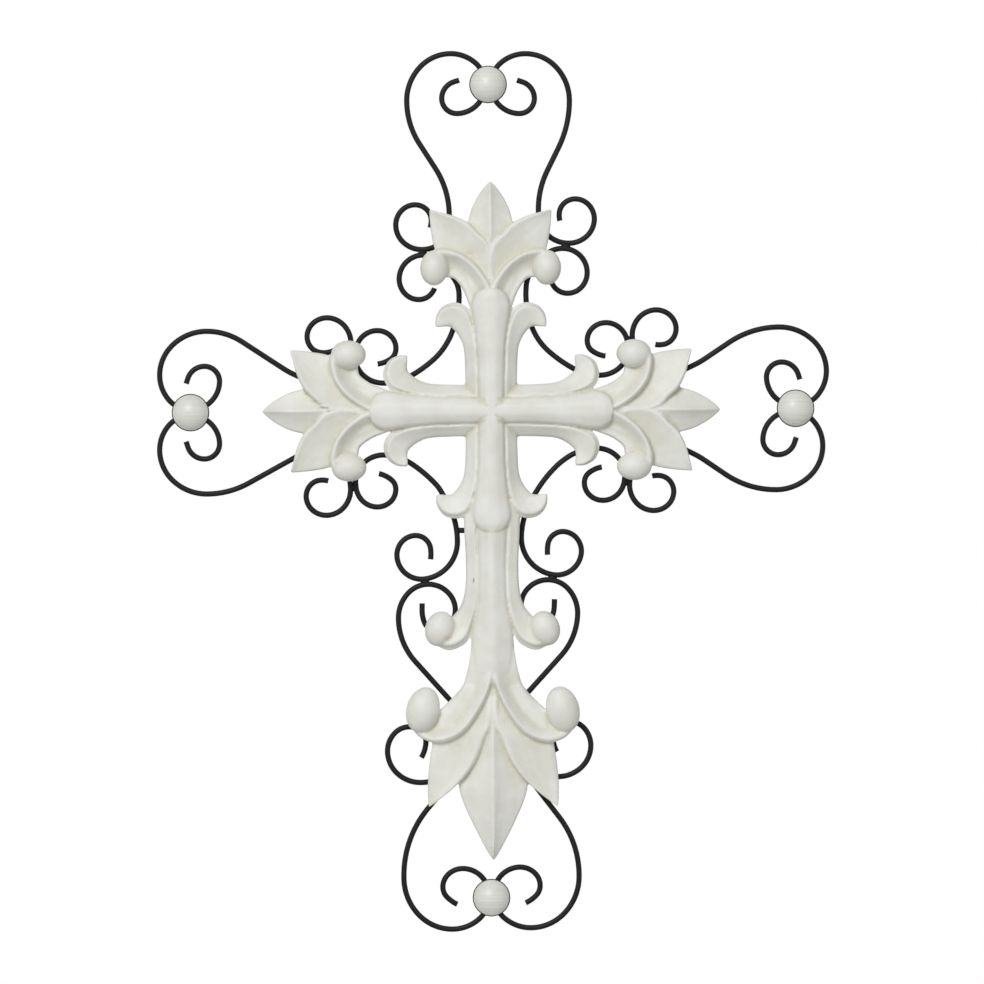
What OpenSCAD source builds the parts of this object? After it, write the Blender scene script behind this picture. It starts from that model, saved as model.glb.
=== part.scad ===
// Wall cross: a carved white cross lying on a frame of bent iron rod.
// The cross is drawn flat, x to the right, y up, z towards the viewer, with
// the flat back of the carving at z = 0 and the rods behind it.  Each sub-part
// is then stood upright: +Z up, front towards -Y, wall at y = 0, and the
// origin in the hanging hole.

/* [Overall] */
// Height over the iron scrolls
cross_h = 610; // [490:5:760]
// Depth of the carving at its highest crown
body_t = 20; // [14:0.5:28]

/* [Iron frame] */
// Diameter of the round rod
rod_d = 3.8; // [2.5:0.1:4.5]
// Height of the short rod that crosses behind the shaft, below the middle
rail_y = 82; // [70:1:90]

/* [Studs] */
// Diameter of the black dish under each stud
dish_d = 26; // [20:0.5:32]
// Thickness of the dish
dish_t = 1.5; // [1:0.1:3]
// Rise of the white dome above its dish
stud_h = 7; // [4:0.5:10]
// Width of the black rim that shows round the dome
rim_w = 0.6; // [0.3:0.1:2]

/* [Hanger] */
// Height of the hanging hole above the middle of the cross
hang_y = 123; // [118:0.5:150]
// Width of the flat bar across the back
strap_w = 10; // [8:0.5:12]
// Thickness of the flat bar
strap_t = 2; // [1.5:0.1:4]
// Diameter of the hanging hole
hole_d = 5.5; // [4:0.1:7]
// How far each end of the bar runs past the middle of its rod
strap_over = 1.5; // [1:0.25:3]

/* [Carving] */
// Half width of the raised inner cross at the middle
rib_w = 9; // [7:0.5:11]
// Height of the sharp outer edges above the back
edge_t = 7; // [4:0.5:9]

/* [Hidden] */
$fn = 48;

k = cross_h / 610;            // the plan grows with the height
gap = 0.02;                   // hairline between two bends of one rod
bead = 0.2;                   // the ball that joins two bends is this much thinner than the rod
rod_z = -rod_d / 2;           // rods lie behind the carving and touch its back
wall_z = -rod_d - strap_t;    // back of the hanger bar, against the wall
body_x = 0.6;                 // middle of the carving from the middle of the frame
body_y = 1;
body_lean = 0.3;              // the carving sits a little off plumb
rail_gap = 0.02;              // room for the weld at each end of the rail

// ---------------------------------------------------------------- bent rod
// A bend is [radius, turn], turn > 0 to the left; a radius of 0 is a straight
// of that length.  A pose is [x, y, heading].

function scaled(bends, hand = 1) =
  [for (b = bends) b[0] == 0 ? [0, b[1] * k] : [b[0] * k, b[1] * hand]];

function step_on(p, b) =
  b[0] == 0
    ? [p.x + b[1] * cos(p.z), p.y + b[1] * sin(p.z), p.z]
    : let (r = b[0] * sign(b[1]), h = p.z + b[1])
      [p.x + r * (sin(h) - sin(p.z)), p.y - r * (cos(h) - cos(p.z)), h];

function walk(p, bends, i = 0) =
  i < len(bends) ? walk(step_on(p, bends[i]), bends, i + 1) : p;

function back(p) = [p.x, p.y, p.z + 180];

function aside(p, d) = [p.x + d * cos(p.z + 90), p.y + d * sin(p.z + 90), p.z];

function half_turn(a) = a - 360 * round(a / 360);

// straight, bend, straight from pose p to the end q, which looks back at p
function link(p, q, r) =
  let (
    turn = half_turn(q.z + 180 - p.z),
    u = [cos(p.z), sin(p.z)],
    v = [cos(q.z), sin(q.z)],
    d = [q.x - p.x, q.y - p.y],
    den = u.x * v.y - u.y * v.x,
    s = (d.x * v.y - d.y * v.x) / den,
    t = (d.x * u.y - d.y * u.x) / den,
    c = min(r * tan(abs(turn) / 2), 0.97 * min(s, t))
  ) [[0, s - c], [c / tan(abs(turn) / 2), turn], [0, t - c]];

module bend_chain(bends, i = 0) {
  if (i < len(bends)) {
    r = bends[i][0];
    a = bends[i][1];
    if (i > 0) rotate([0, 90, 0]) sphere(d = rod_d - bead);
    if (r == 0) {
      translate([gap, 0, 0]) rotate([0, 90, 0]) cylinder(d = rod_d, h = a - 2 * gap);
      translate([a, 0, 0]) bend_chain(bends, i + 1);
    } else {
      side = sign(a);
      trim = gap / r * 180 / PI;
      translate([0, side * r, 0])
        rotate([0, 0, (side > 0 ? -90 : 90 + a) + trim])
          rotate_extrude(angle = abs(a) - 2 * trim) translate([r, 0]) circle(d = rod_d);
      translate([r * sin(abs(a)), side * r * (1 - cos(a)), 0])
        rotate([0, 0, a]) bend_chain(bends, i + 1);
    }
  }
}

module run(p, bends) {
  translate([p.x, p.y, rod_z]) rotate([0, 0, p.z]) bend_chain(bends);
}

module joint(p) {
  translate([p.x, p.y, rod_z]) rotate([0, 90, p.z]) sphere(d = rod_d - bead);
}

// one rod: out of weld p to its free end, in towards weld q, and q's free end
module rod(p, p_out, p_in, q, q_out, q_in, r) {
  a = walk(back(p), p_in);
  b = walk(back(q), q_in);
  run(p, p_out);
  run(back(p), concat(p_in, link(a, b, r)));
  run(back(q), q_in);
  run(q, q_out);
  joint(p);
  joint(q);
  if (len(q_in) > 0) joint(b);
}

// ---------------------------------------------------------------- the frame
// Stud places, and the weld points between neighbouring scrolls:
// [x, y, heading], heading towards the free ends.
stud_top_at = [-1.7, 226.5] * k;
stud_bottom_at = [0.7, -336] * k;
stud_left_at = [-207.5, -0.5] * k;
stud_right_at = [211, 2.5] * k;

function weld(x, y, heading) = [x * k, y * k, heading];
top_left_weld = weld(-47, 110.5, 182);
top_right_weld = weld(52, 115, -6);
left_upper_weld = weld(-95, 44, 80);
left_lower_weld = weld(-95, -52, -85);
right_upper_weld = weld(96.5, 49.5, 100);
right_lower_weld = weld(94.5, -48, -97);
shaft_left_weld = weld(-45.5, -117.5, 187);
shaft_right_weld = weld(43, -114.5, -9);

// bends, written for a rod that turns left into its free end
heart_curl = [[20, 88], [10.5, 92], [12, 72], [0, 4]];
bottom_curl = [[0, 2], [18, 90], [14.5, 45], [12, 45], [10, 45], [25, 20]];
heart_lobe = [[20, -49], [26, -41], [29, -45], [34, -45]];
bottom_lobe = [[20, -49], [28, -41], [32, -45], [37, -45]];
outer_scroll = [[18.5, 45], [16.5, 45], [14.5, 45], [13, 45], [11.5, 45], [10.5, 45], [16, 20]];
top_end = [[17, 45], [16.5, 45], [14.5, 45], [13, 45], [11.5, 45], [12, 24]];
arm_end = [[15.5, 45], [14.5, 45], [13, 45], [11.5, 45], [8.5, 45], [20, 28]];
shaft_end = [[17, 45], [17, 45], [14, 45], [13, 45], [10.5, 90], [30, 14]];
foot_curl = [[23.5, 45], [21, 45], [18, 45], [14, 45], [12, 45], [10, 50], [24, 25]];

// half of a heart: the stud weld, the widest point, the neck, and the scroll
// that turns out beside the arm.  hand is 1 where that scroll turns left.
module heart_half(stud, axis, hand, at, neck, end_turn = 20, slip = 0) {
  p = aside([stud.x + slip * cos(axis), stud.y + slip * sin(axis), axis + 180], hand * rod_d / 2);
  q = aside(at, hand * rod_d / 2);
  scroll = [for (i = [0 : 5]) outer_scroll[i], [outer_scroll[6][0], end_turn]];
  rod(p, scaled(heart_curl, hand), scaled(concat(heart_lobe, neck), hand),
      q, scaled(scroll, hand), [], 24 * k);
}

// the corner rods sweep across each quarter and end in a scroll at both welds
module corner_half(a, a_hand, a_in, a_end, b, b_hand, b_in, b_end) {
  rod(aside(a, -a_hand * rod_d / 2), scaled(a_end, -a_hand), scaled(a_in, a_hand),
      aside(b, -b_hand * rod_d / 2), scaled(b_end, -b_hand), scaled(b_in, b_hand), 100 * k);
}

function arm_sweep(last) = [[0, 2], [18, 54], [20, 45], [38, 30], [last, 12]];
left_neck = [[55, -33], [0, 20], [60, 30]];
right_neck = [[74, -26], [0, 18], [60, 26]];
top_sweep = [[18, 56], [0, 10.5], [20, 34], [60, 20]];
shaft_sweep = [[26, 83], [57, 30]];

left_lean = 42;
left_fall = 41;
left_bow = 32;
right_lean = 40;
right_fall = 39;
right_bow = 32.8;

// the shaft rods: inner end, weld, wave down the shaft, and the curl at the foot
shaft_start = [[19, 60], [17, 60], [12, 90], [8, 45], [22, 22], [0, 5]];
function shaft_wave(lean, fall) = [[19, 38], [25, 45], [45, lean], [0, fall]];

module shaft_rod(at, hand, lean, fall, bow) {
  p = aside(at, hand * rod_d / 2);
  run(p, concat(scaled(concat(shaft_wave(lean, fall), [[bow, -90 - lean]]), hand),
                scaled(foot_curl, -hand)));
  run(back(p), scaled(shaft_start, -hand));
  joint(p);
}

// the bottom heart rises behind the leaves and is welded along the foot curl
module bottom_heart_half(at, hand, lean, fall, bow, slip) {
  p = aside([stud_bottom_at.x, stud_bottom_at.y + slip, 90], hand * rod_d / 2);
  foot = walk(aside(at, hand * rod_d / 2),
              scaled(concat(shaft_wave(lean, fall), [[bow, -39.5 - lean]]), hand));
  q = aside(back(foot), -hand * rod_d);
  rod(p, scaled(bottom_curl, hand), scaled(bottom_lobe, hand), q, [[0, 5 * k]], [], 72 * k);
}

module upright() {
  translate([0, wall_z, -hang_y * k]) rotate([90, 0, 0]) children();
}

module iron() {
  color([0.12, 0.12, 0.12]) upright() children();
}

module top_heart_left()
  iron() heart_half(stud_top_at, 90, -1, top_left_weld, left_neck);
module top_heart_right()
  iron() heart_half(stud_top_at, 90, 1, top_right_weld, right_neck);
module left_heart_upper()
  iron() heart_half(stud_left_at, 180, 1, left_upper_weld, [[45, -33], [0, 34], [60, 12]], 40);
module left_heart_lower()
  iron() heart_half(stud_left_at, 180, -1, left_lower_weld, [[60, -29], [0, 30]]);
module right_heart_upper()
  iron() heart_half(stud_right_at, 0, -1, right_upper_weld, [[62, -34], [0, 20], [60, 8]]);
module right_heart_lower()
  iron() heart_half(stud_right_at, 0, 1, right_lower_weld, [[62, -34], [0, 18], [60, 8]],
                     slip = -2.5);
module bottom_heart_left()
  iron() bottom_heart_half(shaft_left_weld, 1, left_lean, left_fall, left_bow, 0);
module bottom_heart_right()
  iron() bottom_heart_half(shaft_right_weld, -1, right_lean, right_fall, right_bow, 1);
module corner_scroll_top_left()
  iron() corner_half(left_upper_weld, 1, arm_sweep(88), arm_end,
                     top_left_weld, -1, top_sweep, top_end);
module corner_scroll_top_right()
  iron() corner_half(right_upper_weld, -1, arm_sweep(95), arm_end,
                     top_right_weld, 1, top_sweep, top_end);
module corner_scroll_bottom_left()
  iron() corner_half(left_lower_weld, -1, arm_sweep(96), arm_end,
                     shaft_left_weld, 1, shaft_sweep, shaft_end);
module corner_scroll_bottom_right()
  iron() corner_half(right_lower_weld, 1, arm_sweep(50), arm_end,
                     shaft_right_weld, -1, shaft_sweep, shaft_end);
module shaft_scroll_left()
  iron() shaft_rod(shaft_left_weld, 1, left_lean, left_fall, left_bow);
module shaft_scroll_right()
  iron() shaft_rod(shaft_right_weld, -1, right_lean, right_fall, right_bow);

// ---------------------------------------------------------------- rail, hanger
// middle of a chain of bends where it first crosses height y
function cross_x(p, bends, y, i = 0) =
  let (b = bends[i], e = step_on(p, b))
  (p.y - y) * (e.y - y) > 0 && i < len(bends) - 1
    ? cross_x(e, bends, y, i + 1)
    : b[0] == 0
      ? p.x + (e.x - p.x) * (y - p.y) / (e.y - p.y)
      : let (c = aside(p, b[0] * sign(b[1])))
        c.x + sign(p.x + e.x - 2 * c.x) * sqrt(max(0, b[0] * b[0] - pow(y - c.y, 2)));

// inmost place of the corner rod over the thickness of the rail
function rail_end(at, hand) =
  let (p = back(aside(at, -hand * rod_d / 2)), bends = scaled(shaft_sweep, hand))
  hand * (max([for (s = [-0.5, 0, 0.5]) hand * cross_x(p, bends, s * rod_d - rail_y * k)])
          + rod_d / 2 + rail_gap);

// end of the hanger bar, past the top heart rod that it is welded to
function strap_end(hand, at, neck) =
  let (stud = stud_top_at,
       p = back(aside([stud.x, stud.y, -90], hand * rod_d / 2)),
       q = back(aside(at, hand * rod_d / 2)),
       bends = scaled(concat(heart_lobe, neck), hand),
       way = concat(bends, link(walk(p, bends), q, 24 * k)))
  cross_x(p, way, hang_y * k) + hand * strap_over;

module back_rail() {
  x0 = rail_end(shaft_left_weld, 1);
  x1 = rail_end(shaft_right_weld, -1);
  iron() translate([x0, -rail_y * k, rod_z]) rotate([0, 90, 0]) cylinder(d = rod_d, h = x1 - x0);
}

module hanger_bar() {
  x0 = strap_end(-1, top_left_weld, left_neck);
  x1 = strap_end(1, top_right_weld, right_neck);
  iron() translate([0, hang_y * k, -rod_d - strap_t]) linear_extrude(strap_t)
    difference() {
      union() {
        translate([x0 + strap_w / 2, -strap_w / 2]) square([x1 - x0 - strap_w, strap_w]);
        for (x = [x0, x1]) translate([x + sign(-x) * strap_w / 2, 0]) circle(d = strap_w);
      }
      circle(d = hole_d);
    }
}

// ---------------------------------------------------------------- studs
stud_places = [stud_top_at, stud_bottom_at, stud_left_at, stud_right_at];

module dish(i) {
  color([0.15, 0.15, 0.15]) upright() translate(stud_places[i])
    rotate_extrude() polygon([[0, 0], [dish_d / 2 - 0.5, 0], [dish_d / 2, 0.5],
                              [dish_d / 2, dish_t], [0, dish_t]]);
}

module stud(i) {
  a = dish_d / 2 - rim_w;
  r = (a * a + stud_h * stud_h) / (2 * stud_h);
  color([0.86, 0.86, 0.83]) upright() translate(stud_places[i]) translate([0, 0, dish_t])
    rotate_extrude() intersection() {
      translate([0, stud_h - r]) circle(r = r, $fn = 96);
      square([a, stud_h]);
    }
}

module dish_top() dish(0);
module dish_bottom() dish(1);
module dish_left() dish(2);
module dish_right() dish(3);
module stud_top() stud(0);
module stud_bottom() stud(1);
module stud_left() stud(2);
module stud_right() stud(3);

// ---------------------------------------------------------------- carving
// A band is lofted through rows [ax, ay, bx, by, za, zb, crown]: its two edges
// a and b in plan, the height of each edge, and how far the section between them
// swells.  Sections are [place across, share of the crown]; between rows the band
// follows a smooth curve.
slope = [[0, 0], [1, 0]];
ridge = [[0, 0], [0.5, 1], [1, 0]];
dome = [[0, 0], [0.22, 0.8], [0.5, 1], [0.78, 0.8], [1, 0]];
rimmed = [[0, 1], [0.2, 1], [0.34, -0.1], [0.62, -0.4], [1, 0]];
high = body_t / 20;           // every height grows with the depth

function blend(p, i, t) =
  let (a = p[max(i - 1, 0)], b = p[i], c = p[i + 1], d = p[min(i + 2, len(p) - 1)])
  ((2 * b) + (c - a) * t + (2 * a - 5 * b + 4 * c - d) * t * t
   + (3 * b - a - 3 * c + d) * t * t * t) / 2;

function smooth(rows, steps) =
  [for (i = [0 : len(rows) - 2]) for (j = [0 : steps - 1]) blend(rows, i, j / steps),
   rows[len(rows) - 1]];

function ring(r, section) =
  [[r[0] * k, r[1] * k, 0],
   for (s = section) [(r[0] + (r[2] - r[0]) * s[0]) * k, (r[1] + (r[3] - r[1]) * s[0]) * k,
                      (r[4] + (r[5] - r[4]) * s[0] + r[6] * s[1]) * high],
   [r[2] * k, r[3] * k, 0]];

module band(rows, section = ridge, steps = 2) {
  rings = [for (r = smooth(rows, steps)) ring(r, section)];
  m = len(section) + 2;
  n = len(rings);
  polyhedron(
    points = [for (r = rings) each r],
    faces = concat(
      [[for (i = [0 : m - 1]) i], [for (i = [0 : m - 1]) n * m - 1 - i]],
      [for (j = [0 : n - 2]) for (i = [0 : m - 1])
        each [[j * m + i, (j + 1) * m + (i + 1) % m, j * m + (i + 1) % m],
              [j * m + i, (j + 1) * m + i, (j + 1) * m + (i + 1) % m]]]));
}

module both_sides() {
  children();
  mirror([1, 0, 0]) children();
}

// a ball on a short foot, so that it stands on the flat back like cast work
module ball(x, y, rx, ry, top) {
  hull() {
    translate([x * k, y * k, (top - 9) * high])
      scale([rx * k, ry * k, 9 * high]) sphere(r = 1, $fn = 12);
    translate([x * k, y * k, 0])
      scale([0.8 * rx * k, 0.8 * ry * k, 1]) cylinder(r = 1, h = 1, $fn = 12);
  }
}

// a pointed leaf with a sharp ridge, along +y
leaf_rows = [[-13, 108, 13, 108, 6, 6, 5], [-16, 121, 16, 121, 6, 6, 6],
             [-15.5, 129, 15.5, 129, 5.5, 5.5, 6.5], [-13.3, 138.5, 13.3, 138.5, 5, 5, 6],
             [-9.3, 147, 9.3, 147, 4.5, 4.5, 5], [-4.5, 154, 4.5, 154, 4, 4, 3],
             [-0.3, 158.5, 0.3, 158.5, 3.5, 3.5, 0.5]];
// the leaf that turns out behind the band, inner edge first
side_leaf_rows = [[-3, 76, 12, 76, 12, 10, 0], [0, 111.5, 20, 96, 12, 10, -1],
                  [9, 123, 30, 104, 12, 9, -1.5], [16, 130, 36, 108, 11.5, 9, -1.5],
                  [25.5, 134.5, 39.3, 114, 10.5, 8, -1], [35.5, 137.2, 41.5, 127, 9, 7, -0.5],
                  [42, 139, 42.3, 137.5, 7, 6.5, 0]];
// the hollow band that carries the ball, rim edge first
curl_rows = [[0, 76, 13, 66, 13, 12, 3.5], [0, 86, 15, 73, 13, 11, 3.5],
             [9, 99.5, 19, 83, 13, 10, 3.5], [19, 107.5, 24.5, 90.5, 13, 9, 3.5],
             [28.5, 111, 29, 92, 12.5, 9, 3.2], [36, 111.5, 32, 92, 12, 9, 2.5],
             [42, 109.5, 36, 90, 11, 9, 2]];
// the rib of the inner cross, with its rounded end
rib_rows = [for (r = [[1, 0], [1, 20], [1.06, 40], [1.2, 58], [1.35, 70], [1.33, 75],
                      [1.15, 79], [0.75, 82.5], [0.1, 84]])
            [-r[0] * rib_w, r[1], r[0] * rib_w, r[1], 13.5, 13.5, r[1] > 80 ? 3 : 6.5]];
// half of a corner band, from the inner corner out to its hooked end
hook_rows = [[6, 6, 18, 16.5, 13, edge_t, 0.5], [6, 26, 18, 28, 13, edge_t, 0.5],
             [7, 45, 19, 43.5, 13, edge_t, 0.5], [9, 61, 22.5, 52, 13, edge_t, 0.7],
             [13.5, 69.8, 27, 57.2, 13, edge_t, 1], [20.5, 73.8, 29, 58, 12, edge_t, 1],
             [27, 74.5, 30.5, 58.2, 11, edge_t, 1], [34, 71.5, 32, 58.2, 10, edge_t, 1],
             [38, 65, 33.5, 58, 9, edge_t, 0.5], [38.4, 58, 35.5, 57.9, 8, edge_t, 0]];
// the shaft below the inner cross, and its two outer bands
shaft_rows = [[-10.3, 66, 10.3, 66, 12, 12, 4], [-10.3, 82, 10.3, 82, 12, 12, 4],
              [-9, 106, 9, 106, 12, 12, 4.5], [-9.4, 130, 9.4, 130, 12, 12, 5],
              [-13, 146, 13, 146, 12, 12, 5], [-14.5, 158, 14.5, 158, 11.5, 11.5, 5],
              [-15, 170, 15, 170, 11, 11, 5.5], [-17.5, 182, 17.5, 182, 10.5, 10.5, 6],
              [-20, 192, 20, 192, 10, 10, 5]];
shaft_band_rows = [[10, 62, 19.4, 62, 12, 9, 0], [10.2, 82, 19.2, 82, 12, 9, -0.5],
                   [8.8, 106, 18.2, 103, 12, 9, -0.5], [9.3, 130, 18.6, 122, 12.5, 8.5, -1],
                   [12.5, 146, 21.5, 134, 13, 8, -1.5], [17, 158.5, 26.5, 141, 13, 8, -2],
                   [23, 163.5, 30, 144, 13, 9, -2], [30.2, 165.6, 34, 146, 12.5, 10, -2],
                   [38, 163.5, 37, 147, 12, 10, -2]];
// the two bands at the foot of the shaft, rim edge first
foot_band_rows = [[0, 170, 14, 163, 13, 11, 3.5], [0.5, 183, 17.5, 180, 13, 10, 3.5],
                  [4.3, 198, 21, 190.5, 13, 9, 3.8], [11, 210.5, 26.5, 197, 13, 8, 3.8],
                  [20, 222, 32, 202.5, 12.5, 8, 3.8], [31, 228.2, 37, 207, 12, 8, 3.5],
                  [41.5, 229.2, 43, 209, 11.5, 8, 3], [50, 226.2, 48, 207, 11, 8.5, 2],
                  [56.5, 219.5, 50, 204, 11, 9, 1]];
foot_leaf_rows = [[0, 190, 20, 190, 12, 10, 0], [0.3, 214.5, 30, 205, 12, 10, -1],
                  [5.3, 226, 38, 214, 12, 9.5, -1], [11, 240, 42, 231, 11.5, 8.5, -1],
                  [17.3, 250, 44, 243, 11, 8, -1], [24, 257.5, 45.2, 256, 10, 7.5, -0.5],
                  [33.5, 265.8, 45.3, 266, 9, 7, -0.3], [44, 273.8, 44.8, 273.5, 7, 6.5, 0]];
foot_tip_rows = [[-8, 208, 8, 208, 9, 9, 4], [-14, 235, 14, 235, 8, 8, 5.5],
                 [-21.5, 250, 21.5, 250, 6.5, 6.5, 6.5], [-23.7, 259, 23.7, 259, 6, 6, 7],
                 [-21.3, 269.5, 21.3, 269.5, 5.5, 5.5, 7], [-15, 284, 15, 284, 5, 5, 6.5],
                 [-8, 298, 8, 298, 4.5, 4.5, 5], [-3.6, 306, 3.6, 306, 4, 4, 3],
                 [-0.3, 311, 0.3, 311, 3.5, 3.5, 0.5]];

module arm_end() {
  band(leaf_rows);
  both_sides() {
    band(side_leaf_rows);
    band(curl_rows, rimmed);
    ball(39, 98.5, 9.6, 12, 19);
  }
}

module foot_end() {
  band(shaft_rows, dome, 1);
  band(foot_tip_rows);
  both_sides() {
    band(shaft_band_rows);
    ball(36.8, 150, 10, 11.4, 18);
    band(foot_band_rows, rimmed);
    ball(47.3, 205.3, 12.8, 15, 19);
    band(foot_leaf_rows);
  }
}

module carved_cross() {
  color([0.89, 0.89, 0.86]) upright()
    translate([body_x * k, body_y * k, 0]) rotate([0, 0, body_lean]) union() {
      for (a = [0, 90, -90]) rotate([0, 0, a]) arm_end();
      rotate([0, 0, 180]) foot_end();
      for (a = [0 : 90 : 270]) rotate([0, 0, a]) {
        band(rib_rows, dome, 1);
        both_sides() band(hook_rows, slope);
      }
    }
}

top_heart_left();
top_heart_right();
left_heart_upper();
left_heart_lower();
right_heart_upper();
right_heart_lower();
bottom_heart_left();
bottom_heart_right();
corner_scroll_top_left();
corner_scroll_top_right();
corner_scroll_bottom_left();
corner_scroll_bottom_right();
shaft_scroll_left();
shaft_scroll_right();
carved_cross();
back_rail();
hanger_bar();
dish_top();
dish_bottom();
dish_left();
dish_right();
stud_top();
stud_bottom();
stud_left();
stud_right();
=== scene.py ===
"""Looks of a hanging memorial cross: a pale carved cross on a frame of black wrought-iron scrolls.

Sizes are in millimetres in the carving's own plan (x across, y up, z out from its flat back) and
become metres when a piece is placed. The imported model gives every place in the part's frame.
"""

import logging
import math
from dataclasses import dataclass
from enum import Enum

import bmesh
import bpy
import numpy as np
from mathutils import Matrix, Vector, noise


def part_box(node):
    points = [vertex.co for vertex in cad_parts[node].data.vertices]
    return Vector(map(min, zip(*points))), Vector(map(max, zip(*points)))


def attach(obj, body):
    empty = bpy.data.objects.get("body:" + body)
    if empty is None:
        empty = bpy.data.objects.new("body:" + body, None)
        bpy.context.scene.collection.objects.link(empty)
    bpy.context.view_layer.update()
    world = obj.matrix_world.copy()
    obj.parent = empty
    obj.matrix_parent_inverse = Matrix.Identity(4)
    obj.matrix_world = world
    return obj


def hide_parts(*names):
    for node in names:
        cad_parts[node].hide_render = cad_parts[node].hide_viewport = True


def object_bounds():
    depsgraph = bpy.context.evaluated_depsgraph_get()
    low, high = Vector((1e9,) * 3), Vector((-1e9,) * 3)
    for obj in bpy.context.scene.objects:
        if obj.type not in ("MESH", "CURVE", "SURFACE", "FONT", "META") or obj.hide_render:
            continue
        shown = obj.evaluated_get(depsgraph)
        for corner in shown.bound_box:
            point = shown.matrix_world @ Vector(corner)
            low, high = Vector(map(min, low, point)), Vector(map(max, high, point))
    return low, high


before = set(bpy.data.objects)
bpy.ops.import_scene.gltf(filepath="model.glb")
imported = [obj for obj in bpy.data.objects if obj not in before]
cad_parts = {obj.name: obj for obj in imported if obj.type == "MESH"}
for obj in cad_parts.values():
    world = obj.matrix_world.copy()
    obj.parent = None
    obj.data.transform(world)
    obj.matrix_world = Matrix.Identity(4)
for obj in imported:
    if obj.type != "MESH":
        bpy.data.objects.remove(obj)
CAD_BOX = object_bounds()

LOG = logging.getLogger("cross")
MM = 0.001

Row = tuple[float, float, float, float, float, float, float]


# ------------------------------------------------------------------ small tools


def srgb(code: str) -> tuple[float, float, float, float]:
    """Turns an sRGB hex colour into Blender's linear colour.

    Args:
        code: six hex digits, such as "e2e2da".

    Returns:
        Red, green, blue and alpha, linear.
    """
    parts = [int(code[i : i + 2], 16) / 255 for i in (0, 2, 4)]
    linear = [c / 12.92 if c <= 0.04045 else ((c + 0.055) / 1.055) ** 2.4 for c in parts]
    return (linear[0], linear[1], linear[2], 1.0)


def add_node(
    tree: bpy.types.NodeTree,
    kind: str,
    settings: dict[str, object] | None = None,
    inputs: dict[str | int, object] | None = None,
) -> bpy.types.Node:
    """Adds a node with its settings, values and links.

    Args:
        tree: the node tree.
        kind: the node's type name.
        settings: properties of the node.
        inputs: a value, or the output socket to link, for each input.

    Returns:
        The new node.
    """
    node = tree.nodes.new(kind)
    for name, value in (settings or {}).items():
        setattr(node, name, value)
    for key, value in (inputs or {}).items():
        if isinstance(value, bpy.types.NodeSocket):
            tree.links.new(value, node.inputs[key])
        else:
            node.inputs[key].default_value = value
    return node


def ramp(node: bpy.types.Node, stops: list[tuple[float, tuple[float, float, float, float]]]) -> None:
    """Sets a colour ramp's stops.

    Args:
        node: the colour ramp node.
        stops: each stop's position and linear colour.
    """
    elements = node.color_ramp.elements
    while len(elements) < len(stops):
        elements.new(0.5)
    for element, (position, colour) in zip(elements, stops):
        element.position = position
        element.color = colour


def new_material(name: str) -> tuple[bpy.types.Material, bpy.types.NodeTree, bpy.types.Node]:
    """Makes an empty node material.

    Args:
        name: the material's name.

    Returns:
        The material, its tree and its shader node.
    """
    material = bpy.data.materials.new(name)
    material.use_nodes = True
    tree = material.node_tree
    tree.nodes.clear()
    shader = add_node(tree, "ShaderNodeBsdfPrincipled")
    add_node(tree, "ShaderNodeOutputMaterial", inputs={"Surface": shader.outputs["BSDF"]})
    return material, tree, shader


def object_from(bm: bmesh.types.BMesh, name: str, smooth: bool = True) -> bpy.types.Object:
    """Makes a linked object from a bmesh and frees it.

    Args:
        bm: the mesh, already in place in metres.
        name: the object's name.
        smooth: whether its faces are shaded smooth.

    Returns:
        The object.
    """
    bmesh.ops.recalc_face_normals(bm, faces=bm.faces)
    for face in bm.faces:
        face.smooth = smooth
    mesh = bpy.data.meshes.new(name)
    bm.to_mesh(mesh)
    bm.free()
    obj = bpy.data.objects.new(name, mesh)
    bpy.context.scene.collection.objects.link(obj)
    return obj


def apply_modifiers(obj: bpy.types.Object) -> None:
    """Replaces an object's mesh by what its modifiers make of it.

    Args:
        obj: the object, which loses its modifiers.
    """
    graph = bpy.context.evaluated_depsgraph_get()
    mesh = bpy.data.meshes.new_from_object(obj.evaluated_get(graph))
    obj.modifiers.clear()
    obj.data = mesh


def blurred_points(mesh: bpy.types.Mesh, points: np.ndarray, rounds: int) -> np.ndarray:
    """Moves every vertex to the middle of its neighbours, again and again.

    Args:
        mesh: gives the edges.
        points: where the vertices are.
        rounds: how many times they move.

    Returns:
        Where the vertices end.
    """
    count = len(points)
    edges = np.empty(len(mesh.edges) * 2, dtype=np.int64)
    mesh.edges.foreach_get("vertices", edges)
    first, second = edges.reshape(-1, 2).T
    degree = np.maximum(np.bincount(first, minlength=count) + np.bincount(second, minlength=count), 1)
    blurred = points.copy()
    for _ in range(rounds):
        total = np.empty_like(blurred)
        for axis in range(3):
            total[:, axis] = np.bincount(first, blurred[second, axis], count)
            total[:, axis] += np.bincount(second, blurred[first, axis], count)
        blurred = total / degree[:, None]
    return blurred


# ------------------------------------------------------------------ finishes


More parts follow.
